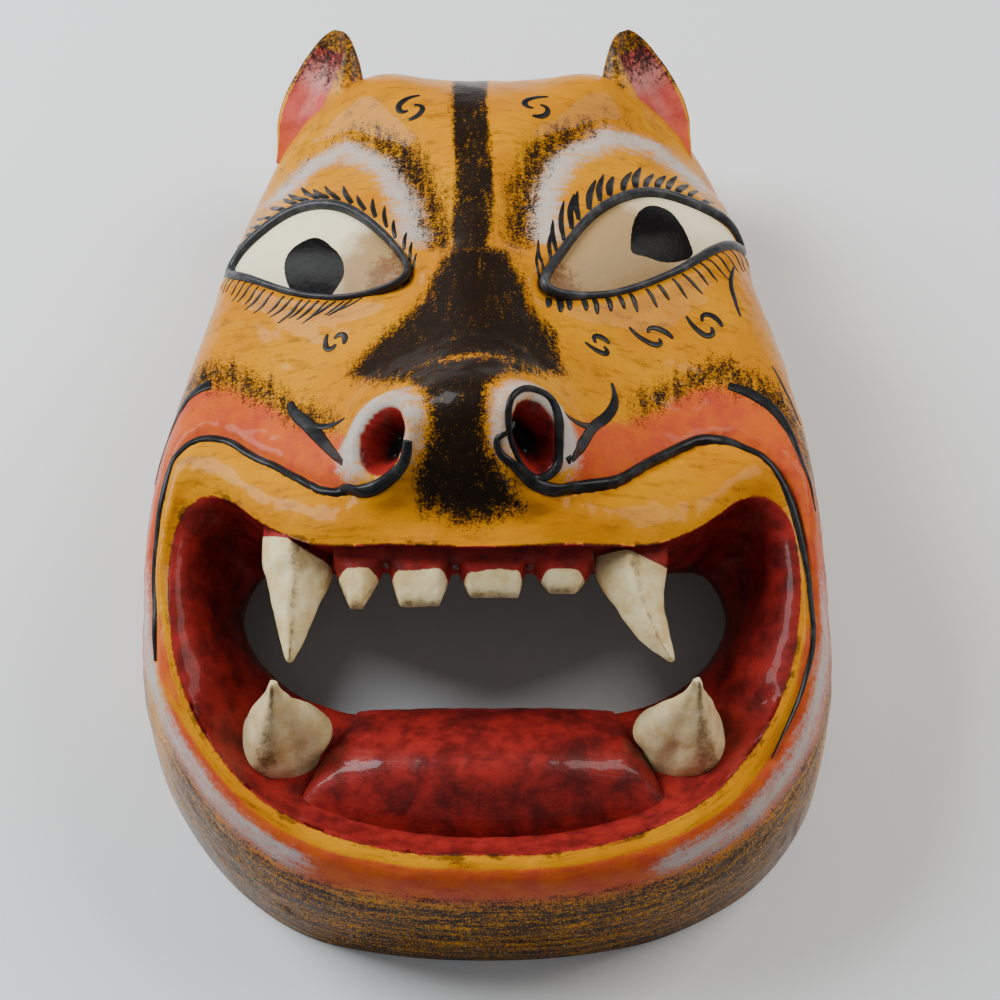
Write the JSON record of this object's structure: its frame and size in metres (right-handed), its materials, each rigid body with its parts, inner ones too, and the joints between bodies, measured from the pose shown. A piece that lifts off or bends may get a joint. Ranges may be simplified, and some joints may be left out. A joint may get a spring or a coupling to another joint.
{
  "type": "carved wooden tiger mask",
  "caption": "Carved and painted wooden tiger face mask with open snarling mouth, fangs, front teeth, tongue, set-in eyes and ears, hollowed behind to fit a face.",
  "frame": {"origin": "centre of the mask's outline on the plane of its back rim, on which it lies face up", "axes": "+Z out of the face, +Y from the chin to the ears along the mask's length, +X to the viewer's right"},
  "size_m": [0.2434, 0.346, 0.1417],
  "materials": {
    "shell_paint": "glossy hand-painted enamel over wood, worn and speckled black at the edges",
    "mouth_red": "glossy dark red enamel over wood with dark wear",
    "tooth_cream": "aged cream paint over wood with brown stains",
    "eye_cream": "cream enamel with a black pupil",
    "dowel_wood": "bare wood",
    "brad_steel": "dull aged steel"
  },
  "bodies": {
    "root": {"mask_shell": "shell_paint", "ear_left": "shell_paint", "ear_right": "shell_paint", "eye_left": "eye_cream", "eye_right": "eye_cream", "front_teeth": "tooth_cream", "upper_fang_left": "tooth_cream", "upper_fang_right": "tooth_cream", "lower_fang_left": "tooth_cream", "lower_fang_right": "tooth_cream", "tongue": "mouth_red", "ear_left_dowel": "dowel_wood", "ear_right_dowel": "dowel_wood", "upper_fang_left_dowel": "dowel_wood", "upper_fang_right_dowel": "dowel_wood", "lower_fang_left_dowel": "dowel_wood", "lower_fang_right_dowel": "dowel_wood", "tongue_dowel_left": "dowel_wood", "tongue_dowel_right": "dowel_wood", "brad_1": "brad_steel", "brad_2": "brad_steel", "brad_3": "brad_steel"}
  },
  "joints": []
}
